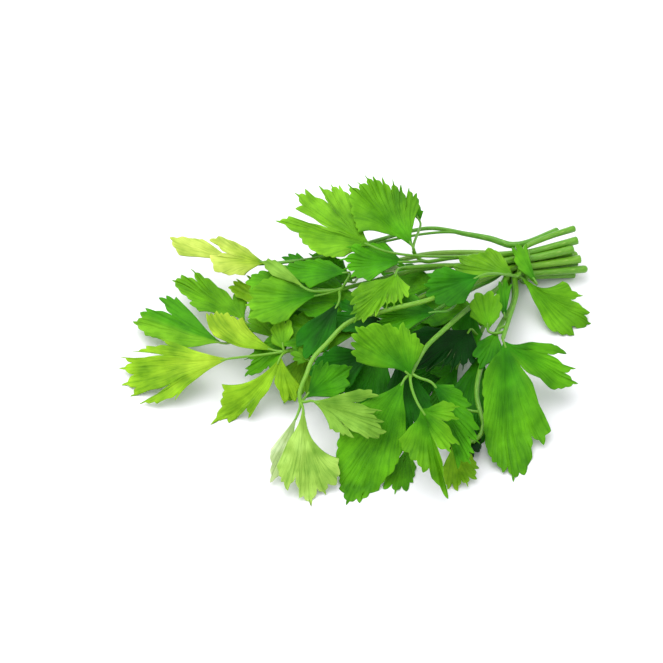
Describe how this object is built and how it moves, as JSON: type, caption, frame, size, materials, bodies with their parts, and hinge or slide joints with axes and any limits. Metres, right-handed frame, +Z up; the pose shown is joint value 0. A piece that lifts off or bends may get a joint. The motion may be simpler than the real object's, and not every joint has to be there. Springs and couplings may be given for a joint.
{
  "type": "flat-leaf parsley bunch",
  "caption": "Small bunch of fresh flat-leaf parsley lying on its side: leafy stems drawn together near their cut ends and held by one stem wound round them.",
  "frame": {"origin": "on the surface that the bunch lies on, under the middle of its bounding box", "axes": "+Z up; -Y towards the side the picture was taken from; +X towards the cut ends of the stems"},
  "size_m": [0.1917, 0.1473, 0.0467],
  "materials": {
    "yellow_green": "living leaf and stem, soft sheen",
    "mid_green": "living leaf and stem, soft sheen",
    "blue_green": "living leaf and stem, soft sheen",
    "pale_green": "living leaf and stem, soft sheen",
    "dark_green": "living leaf and stem, soft sheen",
    "bright_green": "living leaf and stem, soft sheen",
    "deep_green": "living leaf and stem, soft sheen",
    "lime_green": "living leaf and stem, soft sheen",
    "light_green": "living leaf and stem, soft sheen",
    "leaf_green": "living leaf and stem, soft sheen",
    "fresh_green": "living leaf and stem, soft sheen"
  },
  "bodies": {
    "root": {"stem_back": "yellow_green", "stem_centre_left": "mid_green", "stem_front": "blue_green", "stem_front_left": "pale_green", "stem_inner": "dark_green", "stem_left": "bright_green", "stem_left_back": "deep_green", "stem_low_front": "lime_green", "stem_low_middle": "dark_green", "stem_middle": "light_green", "stem_right_front": "leaf_green", "stem_tie": "fresh_green", "stem_top": "fresh_green"}
  },
  "joints": []
}
